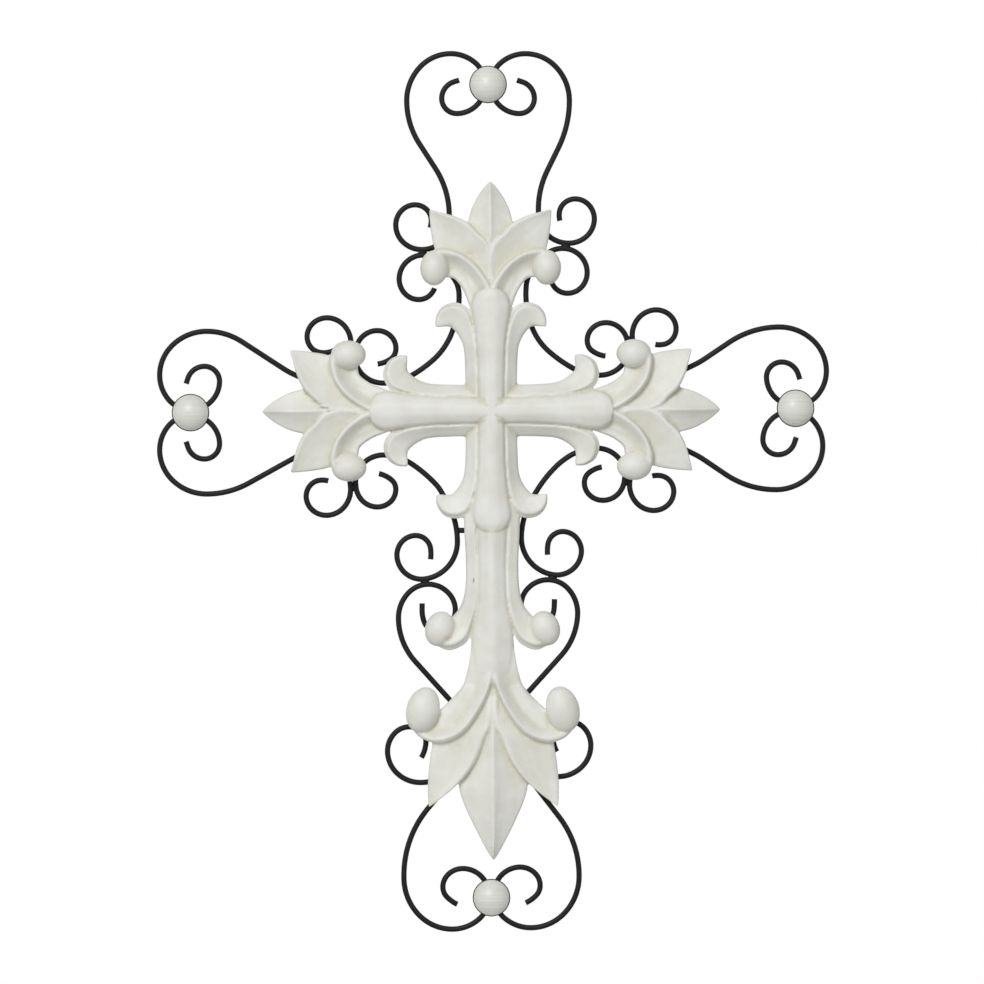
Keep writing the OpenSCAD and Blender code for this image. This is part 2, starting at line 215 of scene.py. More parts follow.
@dataclass(frozen=True)
class CastPaint:
    """Off-white satin paint on a cast and carved cross, with a cream wash and painted shade in the hollows.

    The paint softens every edge and has a faint eggshell grain; the wash warms the creases and painted
    shade darkens them.
    """

    paint: str = "e6e7e0"
    paint_shade: str = "dddcd3"
    # cream wash and painted shade, darker than the paint, laid into the hollows
    wash_and_shade: str = "cdcab6"
    stain: str = "dfc9bd"
    # yellow-grey for grime along the crack, also used as painted shade on one leaf
    grime_and_shade: str = "a39d86"
    roughness: float = 0.52
    thin_wash_and_shade: float = 0.55
    full_wash_and_shade: float = 0.95
    mottle_mm: float = 22.0
    patch_mm: float = 6.0
    grain_mm: float = 0.9

    def build(self) -> bpy.types.Material:
        """Builds the material.

        Returns:
            The finished material.
        """
        material, tree, shader = new_material("cast_off_white_paint")
        place = add_node(tree, "ShaderNodeTexCoord").outputs["Object"]
        mottle = add_node(
            tree,
            "ShaderNodeTexNoise",
            inputs={"Vector": place, "Scale": 1000 / self.mottle_mm, "Detail": 4.0, "Roughness": 0.6},
        )
        coat = add_node(tree, "ShaderNodeValToRGB", inputs={"Fac": mottle.outputs["Fac"]})
        ramp(coat, [(0.35, srgb(self.paint_shade)), (0.62, srgb(self.paint))])
        # recess: the share that lays the cream wash and painted shade into the hollows
        recess = add_node(tree, "ShaderNodeAttribute", {"attribute_name": "recess"})
        broken = add_node(
            tree,
            "ShaderNodeTexNoise",
            inputs={"Vector": place, "Scale": 1000 / self.patch_mm, "Detail": 3.0, "Roughness": 0.65},
        )
        patchy = add_node(
            tree,
            "ShaderNodeMapRange",
            inputs={
                "Value": broken.outputs["Fac"],
                "From Min": 0.3,
                "From Max": 0.6,
                "To Min": self.thin_wash_and_shade,
                "To Max": self.full_wash_and_shade,
            },
        )
        wash_and_shade_share = add_node(
            tree,
            "ShaderNodeMath",
            {"operation": "MULTIPLY", "use_clamp": True},
            {0: recess.outputs["Fac"], 1: patchy.outputs["Result"]},
        )
        washed_and_shaded = add_node(
            tree,
            "ShaderNodeMix",
            {"data_type": "RGBA"},
            {"Factor": wash_and_shade_share.outputs["Value"], 6: coat.outputs["Color"], 7: srgb(self.wash_and_shade)},
        )
        mark = add_node(tree, "ShaderNodeAttribute", {"attribute_name": "stain"})
        stained = add_node(
            tree,
            "ShaderNodeMix",
            {"data_type": "RGBA"},
            {"Factor": mark.outputs["Fac"], 6: washed_and_shaded.outputs[2], 7: srgb(self.stain)},
        )
        # grime, and one patch of painted shade, darken the paint here
        grime_and_shade_layer = add_node(tree, "ShaderNodeAttribute", {"attribute_name": "grime_and_shade"})
        worn_and_shaded = add_node(
            tree,
            "ShaderNodeMix",
            {"data_type": "RGBA"},
            {"Factor": grime_and_shade_layer.outputs["Fac"], 6: stained.outputs[2], 7: srgb(self.grime_and_shade)},
        )
        gloss = add_node(
            tree,
            "ShaderNodeMapRange",
            inputs={
                "Value": mottle.outputs["Fac"],
                "To Min": self.roughness - 0.07,
                "To Max": self.roughness + 0.09,
            },
        )
        grain = add_node(
            tree,
            "ShaderNodeTexNoise",
            inputs={"Vector": place, "Scale": 1000 / self.grain_mm, "Detail": 2.0},
        )
        bump = add_node(
            tree,
            "ShaderNodeBump",
            inputs={"Height": grain.outputs["Fac"], "Strength": 0.12, "Distance": 0.15 * MM},
        )
        tree.links.new(worn_and_shaded.outputs[2], shader.inputs["Base Color"])
        tree.links.new(gloss.outputs["Result"], shader.inputs["Roughness"])
        tree.links.new(bump.outputs["Normal"], shader.inputs["Normal"])
        return material


@dataclass(frozen=True)
class WaxedIron:
    """Black wax over forged round bar: near black, half matt, with the dimples of hand bending.

    Thin places in the wax show a slightly greyer, smoother iron.
    """

    wax: str = "141414"
    thin: str = "1c1c1c"
    roughness: float = 0.46
    sheen: float = 0.16
    patch_mm: float = 9.0
    dimple_mm: float = 1.6

    def build(self) -> bpy.types.Material:
        """Builds the material.

        Returns:
            The finished material.
        """
        material, tree, shader = new_material("black_waxed_wrought_iron")
        place = add_node(tree, "ShaderNodeTexCoord").outputs["Object"]
        patch = add_node(
            tree,
            "ShaderNodeTexNoise",
            inputs={"Vector": place, "Scale": 1000 / self.patch_mm, "Detail": 5.0, "Roughness": 0.65},
        )
        colour = add_node(tree, "ShaderNodeValToRGB", inputs={"Fac": patch.outputs["Fac"]})
        ramp(colour, [(0.4, srgb(self.wax)), (0.72, srgb(self.thin))])
        gloss = add_node(
            tree,
            "ShaderNodeMapRange",
            inputs={
                "Value": patch.outputs["Fac"],
                "To Min": self.roughness + 0.12,
                "To Max": self.roughness - 0.1,
            },
        )
        dimples = add_node(
            tree,
            "ShaderNodeTexNoise",
            inputs={"Vector": place, "Scale": 1000 / self.dimple_mm, "Detail": 3.0, "Roughness": 0.5},
        )
        bump = add_node(
            tree,
            "ShaderNodeBump",
            inputs={"Height": dimples.outputs["Fac"], "Strength": 0.12, "Distance": 0.12 * MM},
        )
        tree.links.new(colour.outputs["Color"], shader.inputs["Base Color"])
        tree.links.new(gloss.outputs["Result"], shader.inputs["Roughness"])
        tree.links.new(bump.outputs["Normal"], shader.inputs["Normal"])
        shader.inputs["Specular IOR Level"].default_value = self.sheen
        return material


@dataclass(frozen=True)
class BrushedEnamel:
    """Pale pressed-steel dome, enamelled over brushing whose fine level lines still show."""

    light: str = "e2e3dc"
    dark: str = "d6d7d0"
    roughness: float = 0.4
    line_mm: float = 0.8
    line_length_mm: float = 26.0

    def build(self) -> bpy.types.Material:
        """Builds the material.

        Returns:
            The finished material.
        """
        material, tree, shader = new_material("pale_enamel_over_brushed_steel")
        place = add_node(tree, "ShaderNodeTexCoord").outputs["Object"]
        stretched = add_node(
            tree,
            "ShaderNodeMapping",
            inputs={
                "Vector": place,
                "Scale": (1000 / self.line_length_mm, 1000 / self.line_length_mm, 1000 / self.line_mm),
            },
        )
        lines = add_node(
            tree,
            "ShaderNodeTexNoise",
            inputs={"Vector": stretched.outputs["Vector"], "Scale": 1.0, "Detail": 3.0},
        )
        colour = add_node(tree, "ShaderNodeValToRGB", inputs={"Fac": lines.outputs["Fac"]})
        ramp(colour, [(0.3, srgb(self.dark)), (0.7, srgb(self.light))])
        bump = add_node(
            tree,
            "ShaderNodeBump",
            inputs={"Height": lines.outputs["Fac"], "Strength": 0.15, "Distance": 0.06 * MM},
        )
        tree.links.new(colour.outputs["Color"], shader.inputs["Base Color"])
        tree.links.new(bump.outputs["Normal"], shader.inputs["Normal"])
        shader.inputs["Roughness"].default_value = self.roughness
        return material


# ------------------------------------------------------------------ carved bands


class Section(Enum):
    """Shapes across a band: (place across, share of the crown) from its first edge to its second."""

    BAR = ((0, -0.6), (0.04, -0.15), (0.1, 0.16), (0.2, 0.43), (0.32, 0.74), (0.42, 0.95), (0.5, 1),
           (0.58, 0.95), (0.68, 0.74), (0.8, 0.43), (0.9, 0.16), (0.96, -0.15), (1, -0.6))
    RIB = ((0, -1.2), (0.04, -0.4), (0.1, 0.07), (0.2, 0.5), (0.3, 0.85), (0.4, 1), (0.6, 1), (0.7, 0.85),
           (0.8, 0.5), (0.9, 0.07), (0.96, -0.4), (1, -1.2))
    SHOULDER = ((0, -3.4), (0.08, -2.6), (0.13, -0.9), (0.18, 0.4), (0.24, 0.75), (0.34, 0.55), (0.6, 0.2),
                (0.85, 0.1), (0.95, -0.4), (1, -1.4))
    COVE = ((0, -0.5), (0.03, 0.25), (0.08, 0.85), (0.14, 1), (0.21, 0.76), (0.29, 0.25),
            (0.4, -0.25), (0.52, -0.5), (0.66, -0.5), (0.82, -0.25), (0.93, 0), (1, -0.35))
    LEAF_EDGE = ((0, -0.6), (0.03, 0.45), (0.07, 0.95), (0.12, 0.7), (0.2, 0.1), (0.4, -0.45),
                 (0.65, -0.4), (0.9, 0), (1, -0.6))
    RIDGE = ((0, -0.08), (0.03, 0.03), (0.12, 0.15), (0.28, 0.42), (0.4, 0.7), (0.47, 0.93),
             (0.5, 1), (0.53, 0.93), (0.6, 0.7), (0.72, 0.42), (0.88, 0.15), (0.97, 0.03), (1, -0.08))


@dataclass(frozen=True)
class Band:
    """A carved band, lofted through rows (ax, ay, bx, by, height a, height b, crown)."""

    rows: tuple[Row, ...]
    section: Section
    steps: int = 5

    def stations(self) -> list[np.ndarray]:
        """Gives the rows with smooth steps between them.

        Returns:
            The stations of the loft, in order.
        """
        rows = [np.array(r, float) for r in self.rows]
        found = []
        for i in range(len(rows) - 1):
            before, start, end, after = (rows[max(i - 1, 0)], rows[i], rows[i + 1],
                                         rows[min(i + 2, len(rows) - 1)])
            for j in range(self.steps):
                t = j / self.steps
                found.append(
                    0.5 * (2 * start + (end - before) * t
                           + (2 * before - 5 * start + 4 * end - after) * t * t
                           + (3 * start - before - 3 * end + after) * t ** 3)
                )
        return [*found, rows[-1]]

    def ring(self, row: np.ndarray) -> list[Vector]:
        """Gives the closed outline of one cross-section, flat back included.

        Args:
            row: one station of the band.

        Returns:
            Points in millimetres.
        """
        ax, ay, bx, by, za, zb, crown = row
        top = [
            Vector((ax + (bx - ax) * t, ay + (by - ay) * t, za + (zb - za) * t + crown * share))
            for t, share in self.section.value
        ]
        return [Vector((ax, ay, 0)), *top, Vector((bx, by, 0))]

    def loft(self, bm: bmesh.types.BMesh, place: Matrix) -> None:
        """Adds the band to a mesh by extruding its first section along its stations.

        Args:
            bm: the mesh to add to.
            place: turns or mirrors the band in plan.
        """
        rings = [self.ring(row) for row in self.stations()]
        corners = [bm.verts.new(place @ p) for p in rings[0]]
        edges = [bm.edges.new(pair) for pair in zip(corners, [*corners[1:], corners[0]])]
        bmesh.ops.contextual_create(bm, geom=edges)
        for ring in rings[1:]:
            made = bmesh.ops.extrude_edge_only(bm, edges=edges)["geom"]
            fresh = {g for g in made if isinstance(g, bmesh.types.BMVert)}
            corners = [
                next(e.other_vert(v) for e in v.link_edges if e.other_vert(v) in fresh) for v in corners
            ]
            for corner, point in zip(corners, ring):
                corner.co = place @ point
            edges = [bm.edges.get(pair) for pair in zip(corners, [*corners[1:], corners[0]])]
        bmesh.ops.contextual_create(bm, geom=edges)


@dataclass(frozen=True)
class Ball:
    """A carved ball at the end of a band, standing on the flat back."""

    x: float
    y: float
    half_width: float
    half_height: float
    top: float
    half_depth: float = 9.5
    tilt: float = 0.0

    def add(self, bm: bmesh.types.BMesh, place: Matrix) -> None:
        """Adds the ball to a mesh; its lower half runs straight down to the back.

        Args:
            bm: the mesh to add to.
            place: turns or mirrors the ball in plan.
        """
        made = bmesh.ops.create_uvsphere(bm, u_segments=40, v_segments=24, radius=1.0)
        middle = Vector((self.x, self.y, self.top - self.half_depth))
        turn = Matrix.Rotation(-math.radians(self.tilt), 3, "Z")
        for vert in made["verts"]:
            x, y, z = vert.co
            if z < 0:
                girth = (1 - 0.15 * abs(z)) / max(math.hypot(x, y), 1e-6)
                x, y = (x * girth, y * girth) if z > -0.99 else (0.0, 0.0)
            point = turn @ Vector((x * self.half_width, y * self.half_height, z * self.half_depth)) + middle
            vert.co = place @ Vector((point.x, point.y, max(point.z, 0.0)))


@dataclass(frozen=True)
class Mark:
    """A chip, dent or stain of the casting, or a patch of painted shade, in plan."""

    x: float
    y: float
    half_width: float
    half_height: float
    depth: float = 0.0
    stain: float = 0.0
    grime_and_shade: float = 0.0

    def weight(self, x: np.ndarray, y: np.ndarray) -> np.ndarray:
        """Gives how much of the mark lies at each place.

        Args:
            x: places across, in millimetres of plan.
            y: places up, in millimetres of plan.

        Returns:
            A share from 0 to 1 for each place.
        """
        far = ((x - self.x) / self.half_width) ** 2 + ((y - self.y) / self.half_height) ** 2
        return np.clip(1 - far, 0, 1) ** 2


@dataclass
class CarvedCross:
    """The pale carved cross: three leafy arm ends, a long shaft and a leafy foot on one flat back."""

    tip: float = 158.5
    lean_degrees: float = 0.3
    rise: float = 1.08
    rib_half: float = 9.0
    rib_height: float = 15.2
    rib_crown: float = 2.6
    rib_end: float = 81.0
    rib_end_crown: float = 1.6
    voxel: float = 0.75
    soften: int = 4
    most_faces: int = 190_000
    front_depth: float = 4.0
    wave_mm: tuple[float, float] = (13.0, 4.5)
    small_wave: float = 0.4
    unevenness: float = 0.14
    blur_rounds: int = 24
    hollow_start: float = 0.12
    hollow_span: float = 0.8
    leaf: Band = Band(
        ((-13, 104, 13, 104, 6, 6, 5.5), (-16, 121, 16, 121, 6, 6, 7),
         (-15.5, 129, 15.5, 129, 5.5, 5.5, 7.5), (-13.3, 138.5, 13.3, 138.5, 5, 5, 7),
         (-9.3, 147, 9.3, 147, 4.5, 4.5, 5.6),
         (-4.5, 154, 4.5, 154, 4, 4, 3.2), (-0.3, 158.3, 0.3, 158.3, 3.5, 3.5, 0.5)),
        Section.RIDGE,
    )
    side_leaf: Band = Band(
        ((-3, 76, 12, 76, 12, 9, 0), (0, 111.5, 20, 96, 12, 8.5, 1.2), (9, 123, 30, 104, 12, 7.5, 1.4),
         (16, 130, 36, 108, 11.5, 7, 1.4), (25.5, 134.5, 39.3, 114, 10.5, 6.5, 1.2),
         (35.5, 137.2, 41.5, 127, 9, 6, 0.8), (42, 139, 42.3, 137.5, 7, 6, 0)),
        Section.LEAF_EDGE,
    )
    curl: Band = Band(
        ((-2, 74, 11, 62, 13, 10, 2.0), (0, 86, 15, 73, 13, 9, 2.6), (9, 99.5, 19, 83, 13, 8, 3),
         (19, 107.5, 24.5, 90.5, 13, 7.5, 3), (28.5, 111, 29, 92, 12.5, 7.5, 2.8),
         (36, 111.5, 32, 92, 12, 8, 2.3), (42, 109.3, 36, 91, 11, 9, 1.8),
         (46.2, 104.8, 39, 92.5, 10.5, 10, 1), (48.5, 98.8, 41, 94, 9.3, 10, 0.4)),
        Section.COVE,
    )
    curl_ball: Ball = Ball(39, 98.5, 9.8, 12.2, 17.6, 8.8)
    hook: Band = Band(
        ((8, 4, 17.8, 10, 13.2, 6.2, 1), (9, 26, 18, 28, 13.2, 6.2, 1), (9.6, 45, 19, 43.5, 13.2, 6.2, 1),
         (11.6, 60, 22.5, 52, 13, 6.2, 1), (15, 69.5, 27, 57.2, 12.8, 6.5, 1),
         (20.5, 73.8, 29, 58, 12.2, 7, 1), (27, 74.5, 30.5, 58.2, 11, 7.5, 0.9),
         (34, 71.5, 32, 58.2, 10, 8, 0.8), (38, 65, 33.5, 58, 9.5, 8.5, 0.6),
         (38.4, 58, 35.5, 57.9, 9, 8.5, 0.4)),
        Section.SHOULDER,
    )
    shaft: Band = Band(
        ((-10.5, 66, 10.5, 66, 12.8, 12.8, 3.8), (-10.4, 82, 10.4, 82, 12.8, 12.8, 3.8),
         (-9.6, 106, 9.6, 106, 12.8, 12.8, 3.8), (-10.4, 130, 10.4, 130, 12.8, 12.8, 3.9),
         (-13, 146, 13, 146, 12.6, 12.6, 4), (-14.5, 158, 14.5, 158, 12, 12, 4.4),
         (-15, 170, 15, 170, 11.2, 11.2, 4.8), (-14, 178, 14, 178, 10.9, 10.9, 4.7),
         (-11, 184, 11, 184, 10.8, 10.8, 4.2), (-7, 190, 7, 190, 9.5, 9.5, 3.4),
         (-3, 195, 3, 195, 8, 8, 1.5)),
        Section.BAR,
    )
    shaft_band: Band = Band(
        ((10, 62, 19.4, 62, 12, 9, 1), (10.2, 82, 19.2, 82, 12, 9, 1), (8.8, 106, 18.2, 103, 12, 9, 1),
         (9.3, 130, 18.6, 122, 12.5, 8.5, 1), (12.5, 146, 21.5, 134, 13, 8, 1.2),
         (17, 158.5, 26.5, 141, 13, 8, 1.2), (23, 163.5, 30, 144, 13, 9, 1.2),
         (30.2, 165.6, 34, 146, 12.5, 10, 1.2), (37, 163.1, 36.5, 147, 12, 10, 1),
         (42, 159.8, 38.5, 147.5, 11, 10.5, 0.8), (45.3, 155.4, 40, 147.8, 10, 10.5, 0.5),
         (46.9, 149.5, 41, 147.8, 9.3, 10, 0.2)),
        Section.SHOULDER,
    )
    shaft_ball: Ball = Ball(36.5, 150.6, 10, 12.4, 17.6, 8.8, 20)
    foot_band: Band = Band(
        ((0, 168, 14.8, 164, 14.2, 10, 0.3), (0.2, 178, 16.4, 175, 14.8, 10, 0.5),
         (0.8, 187, 18.6, 184, 15.2, 9.6, 1.6), (4.3, 198, 21, 190.5, 14.5, 9, 2.5),
         (11, 210.5, 26.5, 197, 13.8, 8.5, 3), (20, 222, 32, 202.5, 13, 8.2, 3.2),
         (31, 228.2, 37, 207, 12.3, 8.5, 3), (41.5, 229.2, 43, 209, 11.6, 8.5, 2.4),
         (50.5, 225.6, 48, 207, 10, 8.5, 1.3), (56.6, 218.5, 51, 205, 8.5, 8, 0.4),
         (59, 211, 53, 203.5, 7.5, 7, 0.2)),
        Section.COVE,
    )
    foot_ball: Ball = Ball(48.3, 206.6, 11.5, 16.2, 18.6, 9.3, 15)
    crossing: Ball = Ball(0, 0, 10, 10, 17.75, 1.9)
    foot_leaf: Band = Band(
        ((0, 190, 20, 190, 12, 10, 0), (0.3, 214.5, 30, 205, 12, 10, 1.4),
         (5.3, 226, 38, 214, 12, 9.5, 1.7), (11, 240, 42, 231, 11.5, 8.5, 1.7),
         (17.3, 250, 44, 243, 11, 8, 1.6), (24, 257.5, 45.2, 256, 10, 7.5, 1.2),
         (33.5, 265.8, 45.3, 266, 9, 7, 0.8), (44, 273.8, 44.8, 273.5, 7, 6.5, 0)),
        Section.LEAF_EDGE,
    )
    foot_tip: Band = Band(
        ((-8, 208, 8, 208, 8, 8, 4.5), (-14, 235, 14, 235, 7, 7, 6.8),
         (-21.5, 250, 21.5, 250, 5.8, 5.8, 8.4), (-23.7, 259, 23.7, 259, 5.4, 5.4, 9),
         (-21.3, 269.5, 21.3, 269.5, 5, 5, 8.8),
         (-15, 284, 15, 284, 4.6, 4.6, 7.6), (-8, 298, 8, 298, 4.2, 4.2, 5.6),
         (-3.6, 306, 3.6, 306, 4, 4, 3.2), (-0.3, 310.8, 0.3, 310.8, 3.5, 3.5, 0.5)),
        Section.RIDGE,
    )
    marks: tuple[Mark, ...] = (
        Mark(-14.5, 108.5, 3.2, 1.6, depth=0.9),
        Mark(-117, 4.5, 4.5, 1.5, depth=0.8),
        Mark(-113, 2.0, 1.6, 1.2, depth=0.7, grime_and_shade=0.7),
        Mark(-116.5, 2.4, 4.5, 1.3, grime_and_shade=0.8),
        Mark(-112.5, -0.2, 2.2, 1.0, grime_and_shade=0.9),
        Mark(-122, 7, 5, 1.6, grime_and_shade=0.45),
        Mark(-128, 12, 3, 1.4, grime_and_shade=0.4),
        # a faint patch over the left leaf's lower half, below its ridge: painted shade
        Mark(-131, -6, 13, 4.5, grime_and_shade=0.14),
        Mark(-111.8, 19.1, 1.3, 1.7, depth=0.3, grime_and_shade=0.5),
        Mark(-107.6, -36.3, 1.0, 1.5, depth=0.4, grime_and_shade=0.4),
        Mark(4.5, -204, 3.0, 9.0, depth=0.9),
        Mark(-31, -157, 4.5, 2.5, stain=0.8),
    )

    def rib(self) -> Band:
        """Gives one arm of the inner cross, with its rounded end.

        Returns:
            The arm that points up.
        """
        widths = ((1, -9), (1, 20), (1.07, 40), (1.26, 58), (1.46, 70), (1.43, 75), (1.24, 79),
                  (0.82, 82.6), (0.1, 84.2))
        rows = tuple(
            (-w * self.rib_half, y, w * self.rib_half, y, self.rib_height, self.rib_height,
             self.rib_crown if y < self.rib_end else self.rib_end_crown)
            for w, y in widths
        )
        return Band(rows, Section.RIB)

    def placement(self) -> Matrix:
        """Gives the way from the carving's plan in millimetres to the part's frame in metres.

        Returns:
            The placing matrix.
        """
        low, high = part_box("carved_cross")
        middle = Vector(((low[0] + high[0]) / 2, high[1], high[2] - self.tip * MM))
        return (
            Matrix.Translation(middle)
            @ Matrix.Rotation(math.radians(90), 4, "X")
            @ Matrix.Rotation(math.radians(self.lean_degrees), 4, "Z")
            @ Matrix.Diagonal((MM, MM, MM * self.rise, 1))
        )

    def shapes(self) -> bmesh.types.BMesh:
        """Lofts every band and ball as closed overlapping shapes in plan.

        Returns:
            The shapes in one mesh, not yet joined.
        """
        bm = bmesh.new()
        flip = Matrix.Diagonal((-1, 1, 1, 1))
        self.crossing.add(bm, Matrix.Identity(4))
        for quarter in range(4):
            turn = Matrix.Rotation(math.radians(90 * quarter), 4, "Z")
            self.rib().loft(bm, turn)
            for side in (Matrix.Identity(4), flip):
                self.hook.loft(bm, turn @ side)
        for degrees in (0, 90, -90):
            turn = Matrix.Rotation(math.radians(degrees), 4, "Z")
            self.leaf.loft(bm, turn)
            for side in (Matrix.Identity(4), flip):
                self.side_leaf.loft(bm, turn @ side)
                self.curl.loft(bm, turn @ side)
                self.curl_ball.add(bm, turn @ side)
        down = Matrix.Rotation(math.radians(180), 4, "Z")
        self.shaft.loft(bm, down)
        self.foot_tip.loft(bm, down)
        for side in (Matrix.Identity(4), flip):
            for band in (self.shaft_band, self.foot_band, self.foot_leaf):
                band.loft(bm, down @ side)
            for ball in (self.shaft_ball, self.foot_ball):
                ball.add(bm, down @ side)
        return bm

    def fuse(self, obj: bpy.types.Object) -> None:
        """Runs the shapes together into one skin, softens it like paint, and thins its flat places.

        Args:
            obj: the carving.
        """
        remesh = obj.modifiers.new("one_skin", "REMESH")
        remesh.mode = "VOXEL"
        remesh.voxel_size = self.voxel * MM
        remesh.use_smooth_shade = True
        soft = obj.modifiers.new("paint_softness", "SMOOTH")
        soft.factor = 0.5
        soft.iterations = self.soften
        apply_modifiers(obj)
        thin = obj.modifiers.new("thin_flats", "DECIMATE")
        thin.ratio = min(1.0, self.most_faces / (2 * len(obj.data.polygons)))
        apply_modifiers(obj)

    def weather(self, obj: bpy.types.Object) -> None:
        """Adds the hand-carved unevenness and the marks; stores where hollows, stains, grime and painted
        shade lie.

        Args:
            obj: the carving, as one skin.
        """
        mesh = obj.data
        count = len(mesh.vertices)
        points = np.empty(count * 3)
        mesh.vertices.foreach_get("co", points)
        points = points.reshape(-1, 3)
        normals = np.empty(count * 3)
        mesh.vertices.foreach_get("normal", normals)
        normals = normals.reshape(-1, 3)
        back_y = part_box("carved_cross")[1][1]
        front = np.clip((back_y - points[:, 1]) / (self.front_depth * MM), 0, 1)
        long, short = (length * MM for length in self.wave_mm)
        wave = np.array([
            noise.noise(Vector(p) / long) + self.small_wave * noise.noise(Vector(p) / short)
            for p in points
        ])
        inverse = np.array(self.placement().inverted())
        plan = points @ inverse[:3, :3].T + inverse[:3, 3]
        stain, grime_and_shade = np.zeros(count), np.zeros(count)
        sink = self.unevenness * (wave - 0.5)
        for mark in self.marks:
            weight = mark.weight(plan[:, 0], plan[:, 1])
            sink -= mark.depth * weight
            stain += mark.stain * weight
            grime_and_shade += mark.grime_and_shade * weight
        points += normals * (np.minimum(sink, 0) * front * MM)[:, None]
        blurred = blurred_points(mesh, points, self.blur_rounds)
        # the deeper a place lies in a hollow, the more cream wash and painted shade the paint gets there
        hollow = ((blurred - points) * normals).sum(axis=1) / MM
        recess = np.clip((hollow - self.hollow_start) / self.hollow_span, 0, 1) * front
        stain, grime_and_shade = np.clip(stain, 0, 1) * front, np.clip(grime_and_shade, 0, 1) * front
        mesh.vertices.foreach_set("co", points.ravel())
        for name, values in (("recess", recess), ("stain", stain), ("grime_and_shade", grime_and_shade)):
            layer = mesh.attributes.new(name, "FLOAT", "POINT")
            layer.data.foreach_set("value", values.astype(np.float32))
        mesh.update()

    def build(self, finish: bpy.types.Material) -> bpy.types.Object:
        """Builds, dresses and places the carving.

        Args:
            finish: its paint.

        Returns:
            The finished piece.
        """
        bm = self.shapes()
        bmesh.ops.transform(bm, matrix=self.placement(), verts=bm.verts)
        obj = object_from(bm, "painted_carving")
        self.fuse(obj)
        self.weather(obj)
        obj.data.materials.append(finish)
        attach(obj, "root")
        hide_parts("carved_cross")
        return obj


# ------------------------------------------------------------------ studs


@dataclass
class Stud:
    """A pale dome pressed into a shallow black seat, both turned on their own axis."""

    side: str
    rim_roll: float = 0.3
    rim_foot: float = 0.06
    arc_steps: int = 14
    facets: int = 96

    def turned(self, outline: list[tuple[float, float]], node: str, name: str) -> bpy.types.Object:
        """Spins an outline about the axis of a CAD node.

        Args:
            outline: (radius, height above the node's back) in millimetres, from axis to axis.
            node: the CAD node whose middle and back give the axis.
            name: the new object's name.

        Returns:
            The closed turned piece.
        """
        low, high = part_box(node)
        bm = bmesh.new()
        verts = [bm.verts.new((r * MM, 0, z * MM)) for r, z in outline]
        edges = [bm.edges.new(pair) for pair in zip(verts, verts[1:])]
        bmesh.ops.spin(
            bm, geom=[*verts, *edges], cent=(0, 0, 0), axis=(0, 0, 1), angle=math.tau,
            steps=self.facets, use_merge=True,
        )
        bmesh.ops.remove_doubles(bm, verts=bm.verts, dist=1e-7)
        place = Matrix.Translation(((low[0] + high[0]) / 2, high[1], (low[2] + high[2]) / 2))
        bmesh.ops.transform(bm, matrix=place @ Matrix.Rotation(math.radians(90), 4, "X"), verts=bm.verts)
        return object_from(bm, name)

    def dome(self, finish: bpy.types.Material) -> bpy.types.Object:
        """Builds the dome: a spherical cap with its edge rolled in.

        Args:
            finish: its enamel.

        Returns:
            The finished dome.
        """
        low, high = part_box(f"stud_{self.side}")
        edge, rise = (high[0] - low[0]) / 2 / MM, (high[1] - low[1]) / MM
        radius = (edge * edge + rise * rise) / (2 * rise)
        half = math.asin(edge / radius)
        turns = [half * i / self.arc_steps for i in range(self.arc_steps)]
        arc = [(radius * math.sin(a), rise - radius * (1 - math.cos(a))) for a in turns]
        arc = [*arc, (edge, self.rim_roll), (edge - self.rim_roll * 0.3, self.rim_foot),
               (edge - self.rim_roll, 0), (0, 0)]
        obj = self.turned(arc, f"stud_{self.side}", f"domed_stud_{self.side}")
        obj.data.materials.append(finish)
        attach(obj, "root")
        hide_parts(f"stud_{self.side}")
        return obj

    def seat(self, finish: bpy.types.Material) -> bpy.types.Object:
        """Builds the seat: a disc with a small chamfer behind and a rounded lip in front.

        Args:
            finish: its wax.

        Returns:
            The finished seat.
        """
        low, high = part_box(f"dish_{self.side}")
        edge, thick = (high[0] - low[0]) / 2 / MM, (high[1] - low[1]) / MM
        outline = [(0, 0), (edge - 0.5, 0), (edge - 0.12, 0.35), (edge, 0.7), (edge, thick - 0.25),
                   (edge - 0.08, thick - 0.07), (edge - 0.25, thick), (0, thick)]
        obj = self.turned(outline, f"dish_{self.side}", f"stud_seat_{self.side}")
        obj.data.materials.append(finish)
        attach(obj, "root")
        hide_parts(f"dish_{self.side}")
        return obj


# ------------------------------------------------------------------ ironwork


@dataclass(frozen=True)
class Weld:
    """A bead where two rods kiss: its place and the direction of the rods, in the frame's plan."""

    x: float
    y: float
    heading: float
    long: float = 3.1
    wide: float = 1.5


